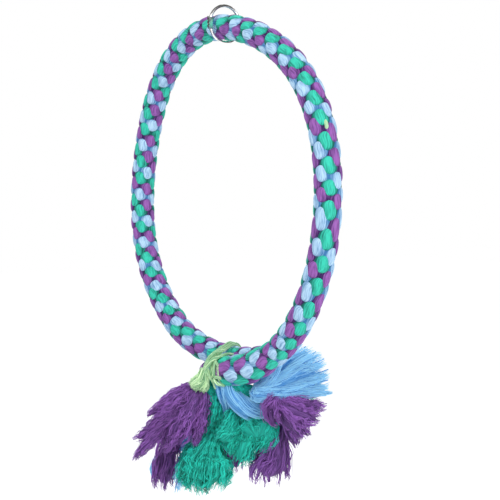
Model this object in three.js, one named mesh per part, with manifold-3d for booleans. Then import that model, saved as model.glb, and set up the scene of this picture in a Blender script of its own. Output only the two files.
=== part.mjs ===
import * as THREE from 'three';
import { mergeVertices } from 'three/addons/utils/BufferGeometryUtils.js';
import Module from 'manifold-3d';

// A rope swing perch: a thick plaited rope bent into a ring, with its two frayed ends lashed side
// by side at the bottom, and a hinged metal hoop round it at the top, which hangs on a cage hook.
// Millimetres, +Z up, the ring in the XZ plane. The origin is the inside top of the metal hoop,
// the point that rests on the hook.

// The metal hoop: a wire ring in the YZ plane, hinged on its +Y side and clasped on its -Y side.
const wireRadius = 1.5;
const hoopInnerRadius = 16.7;
const hoopRadius = hoopInnerRadius + wireRadius;
const wireSides = 12;
const wireSteps = 22;
const wireSink = 1;
const wireClearance = 0.9;
const leafThickness = 1.3;
const leafGap = 0.4;
const hingeEyeRadius = 2.9;
const hingeNeckLength = 4.4;
const rivetRadius = 0.9;
const rivetClearance = 0.3;
const rivetHeadRadius = 2.1;
const rivetHeadHeight = 0.8;
const roundSides = 24;
const claspWidth = 4.6;
const claspHeight = 9;
const claspNotchRadius = 0.8;
const claspNotchReach = 1.8;

// The rope: nine strands round a core cord, bent into a ring that sags a little out of round.
const ringRadius = 165;
const braidRadius = 13.3;
const restGap = 0.3;
const coreRadius = 2.1;
const coreSides = 8;
const strandInnerRadius = 2.8;
const strandGap = 0.42;
const strandOuterPoints = 4;
const ropeStations = 62;
const strandTurns = 2;

// The sag: how far each wave round the ring pushes it outward, as shares of the ring's radius.
const sagWaves = [
  { count: 2, cosine: 0.028, sine: -0.0144 },
  { count: 3, cosine: -0.003, sine: -0.0045 },
  { count: 4, cosine: -0.0048, sine: -0.0158 },
  { count: 5, cosine: -0.004, sine: -0.0017 },
];

// The two ends pass each other at the bottom, the front one on the -Y side. Angles are measured
// from the top of the ring, in degrees, positive down its +X side.
const bottomAngle = 180;
const frontEndAngle = 178;
const rearEndAngle = -197;
const passingOffset = braidRadius + 0.3;
const passingStart = 148;
const passingDone = 176;
const rearSwingOut = 8;
const rearSwingStart = 180;
const rearSwingDone = 204;
const rearLift = 6;
const rearLiftStart = 160;
const rearLiftDone = 190;

// The green cord, wound round both ends of the rope side by side, close to the front end. Its
// turns lie aslant: the slant is how far they lean towards -X for each millimetre towards +Y.
const cordRadius = 1.7;
const cordSides = 6;
const stepsPerTurn = 24;
const lashingTurns = 3;
const lashingSlant = 0.6;
const lashingTurnGap = 0.7;
const lashingPitch = (2 * cordRadius + lashingTurnGap) * Math.hypot(1, lashingSlant);
const lashingStandOff = 0.5;
const lashingStartX = -5;
const leastCordGap = 0.4;
const crossingSearch = 30;
const crossingHalvings = 40;

// The strands in their order round the rope. Each leaves the rope's end in its own slot.
const strandOrder = [
  'blue_1', 'teal_1', 'purple_1', 'purple_2', 'purple_3', 'blue_3', 'teal_2', 'teal_3', 'blue_2',
];
const rearStrandShift = -3;
const slotRadius = 8.8;
const tailGap = 0.3;
const tailRootRadius = 2.6;
const tailRootLength = 6;
const tailSides = 8;
const tailStepsPerPoint = 2;

// The frayed tails: points on the middle of each one as [x, y, z, radius], from the middle of the
// rope's end, drawn for a rope of this radius and scaled with it.
const tailsDrawnForRadius = 13.3;
const frontTails = {
  blue_1: [
    [-16, -1, -13, 2.5], [-7, 1, -26, 4], [0, 3, -38, 5], [-6, 6, -54, 5], [-20, 6, -77, 5.5],
    [-36, 0, -104, 7.5], [-48, -12, -127, 8],
  ],
  teal_1: [
    [-16, -8, -10, 3], [-3, -10, -24, 5.5], [1, -12, -39, 8], [2, -13, -54, 10],
    [-2, -14, -72, 13.5], [-3, -16, -91, 21.5], [-3, -13, -106, 23.5], [-3, -10, -120, 18],
  ],
  purple_1: [
    [-17, -12, -3, 3], [-20, -20, -12, 6.5], [-21, -33, -26, 11], [-21, -44, -40, 14],
    [-24, -56, -55, 14], [-30, -68, -70, 10], [-34, -76, -82, 5],
  ],
  purple_2: [
    [-19, -9, 5, 3], [-30, -13, -3, 4.5], [-36, -18, -20, 6], [-38, -22, -42, 7],
    [-40, -26, -62, 9], [-42, -30, -82, 12], [-43, -32, -100, 13], [-44, -34, -118, 9],
  ],
  purple_3: [
    [-23, -2, 8, 2.5], [-33, -2, 4, 3.5], [-41, -3, -12, 5], [-39, -1, -37, 5.5], [-34, 8, -62, 6],
    [-24, 26, -87, 8], [-14, 34, -108, 8], [-12, 38, -122, 5],
  ],
  blue_3: [
    [-23, 5, 3, 2.5], [-32, 6, 3, 3.5], [-35, 10, -16, 4], [-36, 22, -37, 6], [-39, 32, -54, 8],
    [-41, 36, -70, 5],
  ],
  teal_2: [
    [-16, 12, 0, 2.5], [-24, 10, -13, 3.5], [-23, 16, -24, 4], [-14, 18, -38, 4.5],
    [-3, 19, -50, 5], [5, 15, -62, 8], [7, 11, -73, 9], [8, 11, -85, 6.5],
  ],
  teal_3: [
    [-19, 18, -12, 2.5], [-16, 21, -19, 3], [-8, 20, -24, 4], [4, 18, -25, 4], [14, 17, -24, 5],
    [24, 16, -22, 5], [30, 24, -29, 5], [31, 30, -42, 7], [32, 29, -56, 13], [33, 26, -70, 18.5],
    [32, 23, -86, 16.5], [31, 21, -98, 9],
  ],
  blue_2: [
    [-18, 6, -9, 2.5], [-15, 8, -17, 3], [-1, 9, -24, 3.5], [8, 5, -28, 5], [20, 7, -32, 6],
    [33, 12, -38, 6],
    [43, 19, -40, 5],
  ],
};
const rearTails = {
  blue_1: [
    [9, 12, 7, 2.5], [-8, 22, -7, 3.5], [-25, 22, -22, 5], [-34, 13, -46, 5.5], [-40, 7, -70, 7.5],
    [-41, 6, -90, 6],
  ],
  teal_1: [
    [16, 8, 2, 2.5], [-2, 25, -13, 3.5], [-10, 24, -34, 5], [-20, 24, -55, 6.5],
    [-28, 25, -78, 8.5], [-33, 22, -98, 7],
  ],
  purple_1: [
    [12, 10, -9, 2.5], [4, 15, -26, 3.5], [5, 27, -46, 5], [2, 35, -66, 6.5], [2, 36, -84, 5],
  ],
  purple_2: [
    [16, 3, -8, 3], [5, 5, -26, 3.5], [1, 8, -46, 4.5], [-6, 18, -66, 6], [-11, 22, -86, 8],
    [-12, 21, -104, 12], [-12, 19, -122, 14.5], [-12, 18, -136, 10],
  ],
  purple_3: [
    [17, -4, -6, 2.5], [10, -3, -25, 4], [12, 3, -44, 5.5], [16, 14, -58, 11.5],
    [24, 26, -61, 13.5], [30, 36, -57, 11], [36, 42, -53, 5],
  ],
  blue_3: [
    [23, -5, 2, 2.5], [20, -9, -15, 2.5], [10, -14, -30, 5], [21, -6, -38, 5.5], [26, 9, -32, 9.5],
    [25, 28, -17, 17.5], [26, 38, -6, 20.5], [28, 46, -2, 14],
  ],
  teal_2: [
    [20, 5, 7, 2.5], [13, 16, 10, 2.5], [-4, 26, 4, 3.5], [-10, 37, -18, 5], [-4, 50, -36, 6],
    [6, 56, -42, 4],
  ],
  teal_3: [
    [15, 1, 17, 2.5], [-3, 19, 19, 2.5], [-18, 31, 4, 4.5], [-27, 36, -16, 6], [-27, 36, -42, 7.5],
    [-25, 38, -57, 5.5],
  ],
  blue_2: [
    [14, 7, 13, 2.5], [-11, 17, 13, 2.5], [-28, 22, -3, 4.5], [-40, 22, -22, 6],
    [-47, 21, -46, 7.5], [-48, 19, -64, 5.5],
  ],
};

// The frayed end of the green cord, from the end of its last turn.
const lashingTail = [
  [-5, -2, -5, 2.4], [-7, -2.5, -12, 3], [-10, -4, -22, 4], [-12, -5.5, -29, 2.6],
];

const colours = {
  teal: '#2fc1a5',
  blue: '#9cc8ec',
  purple: '#8a55a5',
  lime: '#a8de90',
  steel: '#c9ccd0',
};

const wasm = await Module();
wasm.setup();

const part = new THREE.Group();

function addPiece(name, geometry, colour, roughness, metalness) {
  const material = new THREE.MeshStandardMaterial({ color: colour, roughness, metalness });
  const mesh = new THREE.Mesh(geometry, material);
  mesh.name = name;
  part.add(mesh);
  return mesh;
}

function addYarn(name, geometry, colour) {
  return addPiece(name, geometry, colours[colour], 0.95, 0);
}

function addMetal(name, geometry) {
  return addPiece(name, geometry, colours.steel, 0.25, 1);
}

function smooth(value) {
  const t = Math.min(1, Math.max(0, value));
  return t * t * (3 - 2 * t);
}

// Joins and cuts.

function toSolid(geometry) {
  const bare = geometry.clone();
  bare.deleteAttribute('normal');
  bare.deleteAttribute('uv');
  const merged = mergeVertices(bare);
  return new wasm.Manifold(new wasm.Mesh({
    numProp: 3,
    vertProperties: new Float32Array(merged.attributes.position.array),
    triVerts: new Uint32Array(merged.index.array),
  }));
}

function toGeometry(solid) {
  const mesh = solid.getMesh();
  const geometry = new THREE.BufferGeometry();
  geometry.setAttribute('position', new THREE.BufferAttribute(mesh.vertProperties, 3));
  geometry.setIndex(new THREE.BufferAttribute(mesh.triVerts, 1));
  geometry.computeVertexNormals();
  return geometry;
}

// A closed skin over a row of outlines with the same number of points, counter-clockwise as seen
// from ahead. The edges in turned are split along their other diagonal.
function skin(outlines, turned = []) {
  const size = outlines[0].length;
  const points = outlines.flat().flatMap((point) => point.toArray());
  const faces = [];
  for (let row = 0; row + 1 < outlines.length; row += 1) {
    for (let k = 0; k < size; k += 1) {
      const a = row * size + k;
      const b = row * size + ((k + 1) % size);
      const c = b + size;
      const d = a + size;
      if (turned.includes(k)) faces.push(a, b, d, b, c, d);
      else faces.push(a, b, c, a, c, d);
    }
  }
  const last = (outlines.length - 1) * size;
  for (let k = 1; k + 1 < size; k += 1) {
    faces.push(0, k + 1, k);
    faces.push(last, last + k, last + k + 1);
  }
  const geometry = new THREE.BufferGeometry();
  geometry.setAttribute('position', new THREE.Float32BufferAttribute(points, 3));
  geometry.setIndex(faces);
  geometry.computeVertexNormals();
  return geometry;
}

// A round tube along points, with a radius at each, whose section turns as little as it can.
function tube(path, radii, sides) {
  const outlines = [];
  let across = new THREE.Vector3();
  path.forEach((point, i) => {
    const before = path[Math.max(0, i - 1)];
    const after = path[Math.min(path.length - 1, i + 1)];
    const along = after.clone().sub(before).normalize();
    if (i === 0) across = sideways(along);
    across.addScaledVector(along, -across.dot(along)).normalize();
    const up = along.clone().cross(across);
    const outline = [];
    for (let k = 0; k < sides; k += 1) {
      const angle = (2 * Math.PI * k) / sides;
      outline.push(point.clone()
        .addScaledVector(across, radii[i] * Math.cos(angle))
        .addScaledVector(up, radii[i] * Math.sin(angle)));
    }
    outlines.push(outline);
  });
  return skin(outlines);
}

function sideways(along) {
  const helper = Math.abs(along.z) < 0.9 ? new THREE.Vector3(0, 0, 1) : new THREE.Vector3(1, 0, 0);
  return helper.cross(along).normalize();
}

// The top of the rope rests on the inside bottom of the metal hoop.
const topShare = sagWaves.reduce((sum, wave) => sum + wave.cosine, 1);
const ropeTopZ = restGap + braidRadius - 2 * hoopInnerRadius;
const ringCentreZ = ropeTopZ - ringRadius * topShare;

// The rope's middle at an angle from the top of the ring.
function ropePoint(degrees) {
  const angle = THREE.MathUtils.degToRad(degrees);
  const passed = Math.abs(degrees);
  let share = 1;
  for (const wave of sagWaves) {
    share += wave.cosine * Math.cos(wave.count * angle) + wave.sine * Math.sin(wave.count * angle);
  }
  let radius = ringRadius * share;
  let y = -Math.sign(degrees) * passingOffset
    * smooth((passed - passingStart) / (passingDone - passingStart));
  if (degrees < 0) {
    radius -= rearLift * smooth((passed - rearLiftStart) / (rearLiftDone - rearLiftStart));
    y += rearSwingOut * smooth((passed - rearSwingStart) / (rearSwingDone - rearSwingStart));
  }
  return new THREE.Vector3(radius * Math.sin(angle), y, ringCentreZ + radius * Math.cos(angle));
}

// The rope's own directions there: ahead, away from the ring's middle, and towards -Y.
function ropeFrame(degrees) {
  const step = 0.2;
  const centre = ropePoint(degrees);
  const ahead = ropePoint(degrees + step).sub(ropePoint(degrees - step)).normalize();
  const outward = new THREE.Vector3(centre.x, 0, centre.z - ringCentreZ);
  outward.addScaledVector(ahead, -outward.dot(ahead)).normalize();
  const forward = ahead.clone().cross(outward);
  return { centre, ahead, outward, forward };
}

function ropeAngles() {
  const angles = [];
  for (let i = 0; i < ropeStations; i += 1) {
    angles.push(THREE.MathUtils.lerp(rearEndAngle, frontEndAngle, i / (ropeStations - 1)));
  }
  return angles;
}

// How far a strand has wound round the rope at an angle, in degrees.
function winding(degrees) {
  const share = (degrees - frontEndAngle) / (rearEndAngle - frontEndAngle);
  return share * (360 * strandTurns + slotAngle(rearStrandShift));
}

function slotAngle(slot) {
  return (360 * slot) / strandOrder.length;
}

// A strand's section is its share of the rope's round section, less the gap to its neighbours.
function strandOutline(frame, middle) {
  const half = slotAngle(0.5);
  const outline = [];
  const place = (radius, turned, inset) => {
    const angle = THREE.MathUtils.degToRad(middle + turned) + inset;
    outline.push(frame.centre.clone()
      .addScaledVector(frame.outward, radius * Math.cos(angle))
      .addScaledVector(frame.forward, radius * Math.sin(angle)));
  };
  const innerInset = Math.asin(strandGap / 2 / strandInnerRadius);
  const outerInset = Math.asin(strandGap / 2 / braidRadius);
  place(strandInnerRadius, -half, innerInset);
  for (let k = 0; k < strandOuterPoints; k += 1) {
    const share = (2 * k) / (strandOuterPoints - 1) - 1;
    place(braidRadius, half * share, -outerInset * share);
  }
  place(strandInnerRadius, half, -innerInset);
  return outline;
}

function addStrands() {
  const lastWall = strandOuterPoints;
  strandOrder.forEach((strand, slot) => {
    const outlines = ropeAngles().map((degrees) => strandOutline(
      ropeFrame(degrees),
      slotAngle(slot) + winding(degrees),
    ));
    addYarn(`strand_${strand}`, skin(outlines, [lastWall]), colourOf(strand));
  });
}

function colourOf(strand) {
  return strand.split('_')[0];
}

function addCore() {
  const path = ropeAngles().map((degrees) => ropePoint(degrees));
  addYarn('core_cord', tube(path, path.map(() => coreRadius), coreSides), 'lime');
}

// A smooth line through rows of values, with the same steps between each two.
function smoothRows(rows, steps) {
  const line = [];
  const at = (i) => {
    if (i < 0) return rows[0].map((value, k) => 2 * value - rows[1][k]);
    if (i >= rows.length) return rows.at(-1).map((value, k) => 2 * value - rows.at(-2)[k]);
    return rows[i];
  };
  for (let i = 0; i + 1 < rows.length; i += 1) {
    for (let step = 0; step < steps; step += 1) {
      const t = step / steps;
      line.push(rows[i].map((value, k) => 0.5 * (2 * value
        + (at(i + 1)[k] - at(i - 1)[k]) * t
        + (2 * at(i - 1)[k] - 5 * value + 4 * at(i + 1)[k] - at(i + 2)[k]) * t ** 2
        + (3 * value - at(i - 1)[k] - 3 * at(i + 1)[k] + at(i + 2)[k]) * t ** 3)));
    }
  }
  line.push(rows.at(-1));
  return line;
}

function tubeThrough(rows, steps, sides) {
  const line = smoothRows(rows, steps);
  const path = line.map(([x, y, z]) => new THREE.Vector3(x, y, z));
  return tube(path, line.map((row) => row[3]), sides);
}

// The tails of one end. Each starts square to the strand's cut face and a little off it.
function addTails(end, tails, endAngle, shift) {
  const scale = braidRadius / tailsDrawnForRadius;
  const frame = ropeFrame(endAngle);
  const away = frame.ahead.clone().multiplyScalar(Math.sign(endAngle));
  strandOrder.forEach((strand, place) => {
    const angle = THREE.MathUtils.degToRad(slotAngle(place + shift));
    const root = frame.centre.clone()
      .addScaledVector(frame.outward, scale * slotRadius * Math.cos(angle))
      .addScaledVector(frame.forward, scale * slotRadius * Math.sin(angle));
    const rows = [tailGap, scale * tailRootLength / 2, scale * tailRootLength].map((length) => {
      const point = root.clone().addScaledVector(away, length);
      return [...point.toArray(), tailRootRadius * scale];
    });
    for (const [x, y, z, radius] of tails[strand]) {
      const point = new THREE.Vector3(x, y, z).multiplyScalar(scale).add(frame.centre);
      rows.push([...point.toArray(), radius * scale]);
    }
    const tail = tubeThrough(rows, tailStepsPerPoint, tailSides);
    addYarn(`${end}_tail_${strand}`, tail, colourOf(strand));
  });
}

// The rope's middle where it crosses a plane of constant X, near the bottom of the ring. Halving
// the search a set number of times leaves it far less than a thousandth of a millimetre out.
function ropeCrossing(x, endAngle) {
  const bottom = bottomAngle * Math.sign(endAngle);
  let near = bottom + crossingSearch;
  let far = bottom - crossingSearch;
  for (let halving = 0; halving < crossingHalvings; halving += 1) {
    const middle = (near + far) / 2;
    if (ropePoint(middle).x < x) near = middle;
    else far = middle;
  }
  return ropePoint(near);
}

// The lashing goes round both ends of the rope as one bundle, a turn beside a turn. Each point of
// it lies on whichever end of the rope reaches further that way.
function lashingPath() {
  const path = [];
  const reach = braidRadius + cordRadius + lashingStandOff;
  const steps = lashingTurns * stepsPerTurn;
  for (let i = 0; i <= steps; i += 1) {
    const angle = (2 * Math.PI * (i + 0.5)) / stepsPerTurn;
    const direction = new THREE.Vector3(0, -Math.cos(angle), Math.sin(angle));
    const wound = lashingStartX + (lashingPitch * i) / stepsPerTurn;
    const [front, rear] = [frontEndAngle, rearEndAngle].map((endAngle) => {
      const y = -Math.sign(endAngle) * passingOffset + reach * direction.y;
      const x = wound - lashingSlant * y;
      return ropeCrossing(x, endAngle).addScaledVector(direction, reach).setX(x);
    });
    path.push(front.dot(direction) > rear.dot(direction) ? front : rear);
  }
  return path;
}

function extendEnds(path, length) {
  const first = path[0].clone().sub(path[1]).setLength(length).add(path[0]);
  const last = path.at(-1).clone().sub(path.at(-2)).setLength(length).add(path.at(-1));
  return [first, ...path, last];
}

function leastSelfGap(path, radius, apart) {
  let least = Infinity;
  path.forEach((point, i) => {
    for (let j = i + apart; j < path.length; j += 1) {
      least = Math.min(least, point.distanceTo(path[j]) - 2 * radius);
    }
  });
  return least;
}

function addLashing() {
  const path = extendEnds(lashingPath(), 2 * cordRadius);
  const least = leastSelfGap(path, cordRadius, stepsPerTurn / 2);
  console.log(`lashing: least gap to itself ${least.toFixed(2)} mm`);
  if (least < leastCordGap) throw new Error('the turns of the lashing are too close');
  addYarn('lashing_cord', tube(path, path.map(() => cordRadius), cordSides), 'lime');
  return path;
}

// The metal hoop. Its angles are measured from the top, positive towards the hinge at +Y.

function hoopPoint(degrees) {
  const angle = THREE.MathUtils.degToRad(degrees);
  return new THREE.Vector3(
    0,
    hoopRadius * Math.sin(angle),
    hoopRadius * Math.cos(angle) - hoopInnerRadius,
  );
}

function box(sizeX, sizeY, sizeZ, x, y, z) {
  return toSolid(new THREE.BoxGeometry(sizeX, sizeY, sizeZ).translate(x, y, z));
}

function discAlongX(radius, length, x, y, z) {
  const disc = new THREE.CylinderGeometry(radius, radius, length, roundSides);
  return toSolid(disc.rotateZ(Math.PI / 2).translate(x, y, z));
}

// One half of the hoop: side is 1 for the upper half and -1 for the lower. The halves lie on
// opposite sides of the plane X = 0 at the hinge and at the clasp, so that they pass each other.
function hoopHalf(side) {
  const middle = -hoopInnerRadius;
  const leafX = (side * (leafGap + leafThickness)) / 2;
  const hingeY = hoopRadius;
  const claspY = -hoopRadius;
  const hingeStop = (hingeNeckLength / hoopRadius) * THREE.MathUtils.RAD2DEG;
  const claspNeck = claspHeight / 2 + wireClearance;
  const claspStop = (claspNeck / hoopRadius) * THREE.MathUtils.RAD2DEG;
  const path = [];
  for (let i = 0; i <= wireSteps; i += 1) {
    const angle = THREE.MathUtils.lerp(claspStop - 90, 90 - hingeStop, i / wireSteps);
    const point = hoopPoint(angle);
    path.push(side > 0 ? point : point.setZ(2 * middle - point.z));
  }
  const wire = toSolid(tube(path, path.map(() => wireRadius), wireSides));
  const eye = discAlongX(hingeEyeRadius, leafThickness, leafX, hingeY, middle);
  const hingeNeck = hingeNeckLength + wireSink;
  const neck = box(leafThickness, 2 * wireRadius, hingeNeck,
    leafX, hingeY - wireSink / 2, middle + (side * hingeNeck) / 2);
  const plateHeight = claspHeight / 2 + claspNeck + wireSink;
  const plate = box(leafThickness, claspWidth, plateHeight,
    -leafX, claspY, middle + side * (plateHeight / 2 - claspHeight / 2));
  let half = wire.add(eye).add(neck).add(plate);
  half = half.subtract(discAlongX(rivetRadius + rivetClearance, 4 * leafThickness,
    leafX, hingeY, middle));
  for (const along of [-1, 1]) {
    const notch = discAlongX(claspNotchRadius, 4 * leafThickness,
      -leafX, claspY - claspWidth / 2, middle + along * claspNotchReach);
    half = half.subtract(notch);
  }
  return toGeometry(half);
}

// The rivet lies along X: a shank between two flat heads.
function rivet() {
  const shank = leafThickness + leafGap / 2 + rivetClearance;
  const head = shank + rivetHeadHeight;
  const profile = [
    [0, -head], [rivetHeadRadius, -head], [rivetHeadRadius, -shank], [rivetRadius, -shank],
    [rivetRadius, shank], [rivetHeadRadius, shank], [rivetHeadRadius, head], [0, head],
  ].map(([radius, height]) => new THREE.Vector2(radius, height));
  const geometry = new THREE.LatheGeometry(profile, roundSides);
  return geometry.rotateZ(-Math.PI / 2).translate(0, hoopRadius, -hoopInnerRadius);
}

// The frayed end of the cord starts beside the first turn's free end.
function lashingTailRows(path) {
  const rows = [];
  const start = path[0];
  const away = path[0].clone().sub(path[1]).normalize();
  for (const length of [tailGap, cordRadius * 2]) {
    rows.push([...start.clone().addScaledVector(away, length).toArray(), cordRadius]);
  }
  for (const [x, y, z, radius] of lashingTail) {
    rows.push([start.x + x, start.y + y, start.z + z, radius]);
  }
  return rows;
}

addMetal('hoop_upper_half', hoopHalf(1));
addMetal('hoop_lower_half', hoopHalf(-1));
addMetal('hinge_rivet', rivet());
addCore();
addStrands();
addTails('front', frontTails, frontEndAngle, 0);
addTails('rear', rearTails, rearEndAngle, rearStrandShift);
const lashing = addLashing();
addYarn('lashing_tail', tubeThrough(lashingTailRows(lashing), tailStepsPerPoint, tailSides), 'lime');

export default part;
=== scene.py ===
# %% [markdown]
# # Rope swing perch
#
# A bird's perch: nine thick strands of yarn plaited round a core cord, bent into a ring and hung
# from a hinged metal hoop. The two ends pass each other at the bottom, where a green cord lashes
# them together, and each strand frays into a tassel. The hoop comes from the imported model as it
# is. Every soft piece is made here, in the place that its plain solid holds.

# %% Load the frame
import math

import bpy
import numpy as np
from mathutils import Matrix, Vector


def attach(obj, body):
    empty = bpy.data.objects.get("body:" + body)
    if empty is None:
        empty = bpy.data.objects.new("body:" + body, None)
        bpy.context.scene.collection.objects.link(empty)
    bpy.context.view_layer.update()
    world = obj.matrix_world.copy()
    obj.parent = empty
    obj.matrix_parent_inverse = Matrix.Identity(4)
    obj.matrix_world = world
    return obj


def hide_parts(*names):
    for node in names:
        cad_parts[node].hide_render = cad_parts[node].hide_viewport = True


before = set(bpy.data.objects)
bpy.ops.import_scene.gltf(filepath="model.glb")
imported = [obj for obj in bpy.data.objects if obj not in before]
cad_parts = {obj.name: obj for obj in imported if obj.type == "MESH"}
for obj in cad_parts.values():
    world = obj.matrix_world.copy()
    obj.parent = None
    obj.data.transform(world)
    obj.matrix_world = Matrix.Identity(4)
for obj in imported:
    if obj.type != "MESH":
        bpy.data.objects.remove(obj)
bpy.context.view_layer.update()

MM = 0.001
print("nodes in the frame:", len(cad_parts))

# %% [markdown]
# ## Making new things
#
# A lamp, a camera and a mesh are each made in two steps: the data, and the object that puts it
# in the scene. Blender's menu commands could make them too, but those act on whatever is
# selected at the time, so these helpers go straight to the data.


# %% Helpers for new things
def add_object(name, data):
    obj = bpy.data.objects.new(name, data)
    bpy.context.scene.collection.objects.link(obj)
    return obj


def new_material(name):
    """A material, its node tree and the shader that it starts with."""
    made = bpy.data.materials.new(name)
    made.use_nodes = True
    return made, made.node_tree, made.node_tree.nodes["Principled BSDF"]


def add_node(tree, kind, **inputs):
    """A node whose inputs are set by name, with _ for a space."""
    node = tree.nodes.new(f"ShaderNode{kind}")
    for name, value in inputs.items():
        node.inputs[name.replace("_", " ")].default_value = value
    return node


# %% [markdown]
# ## Camera
#
# The picture is taken from the level of the ring's middle, 1.2 m away, and turned 55 degrees
# from the ring's own axis. The object doesn't stand in the middle of the picture, so the lens
# is shifted, which moves the picture without tilting the upright lines.

# %% Camera
RING_MIDDLE = Vector((0, 0, -0.1875))
YAW = math.radians(55)
CAMERA_DISTANCE = 1.2
LENS_LENGTH = 86.37
SHIFT_X, SHIFT_Y = 0.05, -0.1104
back = Vector((math.sin(YAW), -math.cos(YAW), 0))  # from the ring to the camera
right = Vector((math.cos(YAW), math.sin(YAW), 0))
up = Vector((0, 0, 1))
camera = add_object("camera", bpy.data.cameras.new("camera"))
camera.location = RING_MIDDLE + back * CAMERA_DISTANCE
camera.rotation_euler = (-back).to_track_quat("-Z", "Y").to_euler()
camera.data.lens = LENS_LENGTH
camera.data.shift_x = SHIFT_X
camera.data.shift_y = SHIFT_Y
bpy.context.scene.camera = camera
bpy.context.scene.view_settings.view_transform = "Standard"
print("camera at", [round(x, 3) for x in camera.location])

# %% [markdown]
# ## White studio
#
# A product picture has a background that is pure white, with the light on the object kept
# plain. Light Path tells a ray from the camera apart from the rays that light the object, so
# the world and the floor can show as white and still light the yarn at a normal level.

# %% A background that shows white
WHITE = (1, 1, 1, 1)
SKY_TINT = (0.93, 0.96, 1, 1)
SKY_STRENGTH = 0.55


def seen_directly(tree):
    """A socket that is 1 for a ray that sees the background itself or in metal."""
    path = add_node(tree, "LightPath")
    seen = path.outputs["Is Camera Ray"]
    for name in ("Is Glossy Ray", "Is Transmission Ray"):
        either = add_node(tree, "Math")
        either.operation = "MAXIMUM"
        tree.links.new(seen, either.inputs[0])
        tree.links.new(path.outputs[name], either.inputs[1])
        seen = either.outputs[0]
    return seen


def show(tree, plain, white, output):
    """White for the rays that see the background, and plain for those that light the object."""
    mix = add_node(tree, "MixShader")
    tree.links.new(seen_directly(tree), mix.inputs[0])
    tree.links.new(plain.outputs[0], mix.inputs[1])
    tree.links.new(white.outputs[0], mix.inputs[2])
    tree.links.new(mix.outputs[0], output.inputs["Surface"])


world = bpy.data.worlds.new("studio")
bpy.context.scene.world = world
world.use_nodes = True
tree = world.node_tree
tree.nodes.clear()
plain = add_node(tree, "Background", Color=SKY_TINT, Strength=SKY_STRENGTH)
white = add_node(tree, "Background", Color=WHITE, Strength=1)
show(tree, plain, white, add_node(tree, "OutputWorld"))
print("world ready")

# %% Floor
FLOOR_Z, FLOOR_REACH = -0.9, 9
FLOOR_PAINT = (0.9, 0.9, 0.9, 1)
FLOOR_GLOW = 0.55  # for the rays that see the floor itself, and no others


def floor_material():
    made, tree, _ = new_material("pale floor")
    tree.nodes.clear()
    paint = add_node(tree, "BsdfDiffuse", Color=FLOOR_PAINT)
    glow = add_node(tree, "Emission", Color=WHITE, Strength=FLOOR_GLOW)
    both = add_node(tree, "AddShader")
    tree.links.new(paint.outputs[0], both.inputs[0])
    tree.links.new(glow.outputs[0], both.inputs[1])
    show(tree, paint, both, add_node(tree, "OutputMaterial"))
    return made


mesh = bpy.data.meshes.new("floor")
sides = ((-1, -1), (1, -1), (1, 1), (-1, 1))
corners = [(x * FLOOR_REACH, y * FLOOR_REACH, FLOOR_Z) for x, y in sides]
mesh.from_pydata(corners, [], [(0, 1, 2, 3)])
floor = add_object("floor", mesh)
mesh.materials.append(floor_material())
print("floor at", FLOOR_Z)

# %% [markdown]
# ## Lamps
#
# Three soft lamps light the object as in a plain product picture: a key from the upper left, a
# weaker fill from the right, and one from behind that draws a light edge round the rope. They
# are placed from the camera's own directions and all look at the ring's middle.

# %% Lamps
LAMPS = (  # name, metres towards the camera, to the right and up, size in metres, watts
    ("key", 1.1, -0.9, 1.2, 0.9, 17),
    ("fill", 1.2, 1.2, 0.1, 1.2, 13),
    ("rear", -1.2, 0.2, 1.1, 1.0, 9),
)
for name, nearer, rightward, higher, size, watts in LAMPS:
    lamp = bpy.data.lights.new(name, "AREA")
    lamp.size, lamp.energy = size, watts
    obj = add_object(name, lamp)
    place = RING_MIDDLE + back * nearer + right * rightward + up * higher
    obj.location = place
    obj.rotation_euler = (RING_MIDDLE - place).to_track_quat("-Z", "Y").to_euler()
print("lamps:", len(LAMPS))

# %% [markdown]
# ## Black cards
#
# In a white studio polished wire reflects white from everywhere and all but vanishes. A
# photographer stands black cards beside it, just outside the picture, so that the sides of the
# wire reflect something dark. The four cards here make an open box round the object. Only
# reflections see them, so they cast no shadow and take no light from the yarn.

# %% Black cards
CARD_SIDE, CARD_NEAR, CARD_FAR = 0.9, 0.75, 2.4
CARD_BLACK = (0.06, 0.06, 0.06, 1)
corners = [right + up, up - right, -right - up, right - up]
near = [RING_MIDDLE + corner * CARD_SIDE + back * CARD_NEAR for corner in corners]
far = [RING_MIDDLE + corner * CARD_SIDE - back * CARD_FAR for corner in corners]
mesh = bpy.data.meshes.new("black_cards")
mesh.from_pydata(near + far, [], [(i, (i + 1) % 4, (i + 1) % 4 + 4, i + 4) for i in range(4)])
cards = add_object("black_cards", mesh)
card_material, _, shader = new_material("black card")
shader.inputs["Base Color"].default_value = CARD_BLACK
mesh.materials.append(card_material)
for kind in ("camera", "diffuse", "transmission", "volume_scatter", "shadow"):
    setattr(cards, f"visible_{kind}", False)
print("black cards:", len(mesh.polygons))

# %% [markdown]
# ## The rope's line
#
# Everything soft hangs on one line, the middle of the rope. It is a ring that sags a little, so
# its radius is a circle's with a few waves in it. Near the bottom the ends step to either side
# and pass each other. The numbers are the ones that the solids were made with, in millimetres.

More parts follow.
